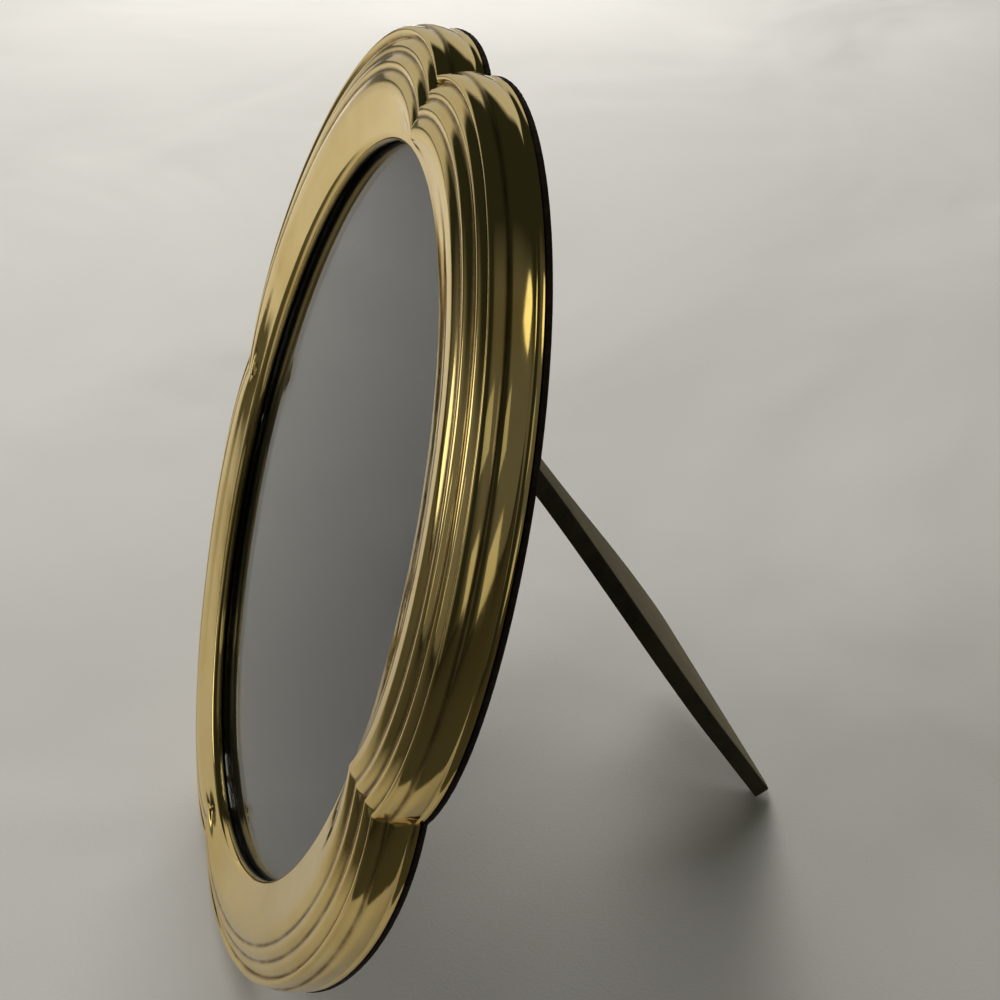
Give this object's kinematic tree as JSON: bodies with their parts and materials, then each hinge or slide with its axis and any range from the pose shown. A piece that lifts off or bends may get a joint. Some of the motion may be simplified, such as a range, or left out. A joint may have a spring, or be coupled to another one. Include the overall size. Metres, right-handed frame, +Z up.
{
  "type": "picture frame",
  "caption": "Oval table picture frame: reeded brass rail with lobed outline round a glazed oval opening, velvet-covered back with turn buttons, and a hinged easel strut that props it up.",
  "frame": {"origin": "middle of the box round the standing frame, at the height of the table it stands on", "axes": "+Z up from the table, -Y towards the viewer of the picture, +X to the viewer's right across the picture"},
  "size_m": [0.1436, 0.1306, 0.1768],
  "materials": {
    "polished_brass": "polished",
    "brassed_steel": "satin, brass coloured",
    "clear_glass": "clear",
    "grey_card": "matt card",
    "fibre_board": "matt board",
    "dark_velvet": "pile"
  },
  "bodies": {
    "frame": {"brass_frame": "polished_brass", "glass_pane": "clear_glass", "mount_card": "grey_card", "filler_board": "fibre_board", "back_ring": "fibre_board", "ring_velvet": "dark_velvet", "back_door": "fibre_board", "door_velvet": "dark_velvet", "turn_screw_1": "polished_brass", "turn_screw_2": "polished_brass", "turn_screw_3": "polished_brass", "turn_screw_4": "polished_brass", "hinge_plate": "brassed_steel", "hinge_pin": "brassed_steel", "plate_rivet_1": "polished_brass", "plate_rivet_2": "polished_brass"},
    "strut": {"strut_leaf": "brassed_steel", "strut_board": "fibre_board", "strut_velvet": "dark_velvet", "strut_rivet_1": "polished_brass", "strut_rivet_2": "polished_brass"},
    "turn_button_1": {"turn_button_1": "brassed_steel"},
    "turn_button_2": {"turn_button_2": "brassed_steel"},
    "turn_button_3": {"turn_button_3": "brassed_steel"},
    "turn_button_4": {"turn_button_4": "brassed_steel"}
  },
  "joints": [
    {"name": "strut_hinge", "type": "hinge", "parent": "frame", "child": "strut", "pos_m": [0, -0.00461, 0.12914], "axis": [-1, 0, 0], "range_deg": [0, 49]},
    {"name": "turn_button_1_swivel", "type": "hinge", "parent": "frame", "child": "turn_button_1", "pos_m": [0.04619, -0.0009, 0.14245], "axis": [0, -0.9312, 0.3644], "continuous": true},
    {"name": "turn_button_2_swivel", "type": "hinge", "parent": "frame", "child": "turn_button_2", "pos_m": [-0.04619, -0.0009, 0.14245], "axis": [0, -0.9312, 0.3644], "continuous": true},
    {"name": "turn_button_3_swivel", "type": "hinge", "parent": "frame", "child": "turn_button_3", "pos_m": [-0.04619, -0.04445, 0.03118], "axis": [0, -0.9312, 0.3644], "continuous": true},
    {"name": "turn_button_4_swivel", "type": "hinge", "parent": "frame", "child": "turn_button_4", "pos_m": [0.04619, -0.04445, 0.03118], "axis": [0, -0.9312, 0.3644], "continuous": true}
  ]
}
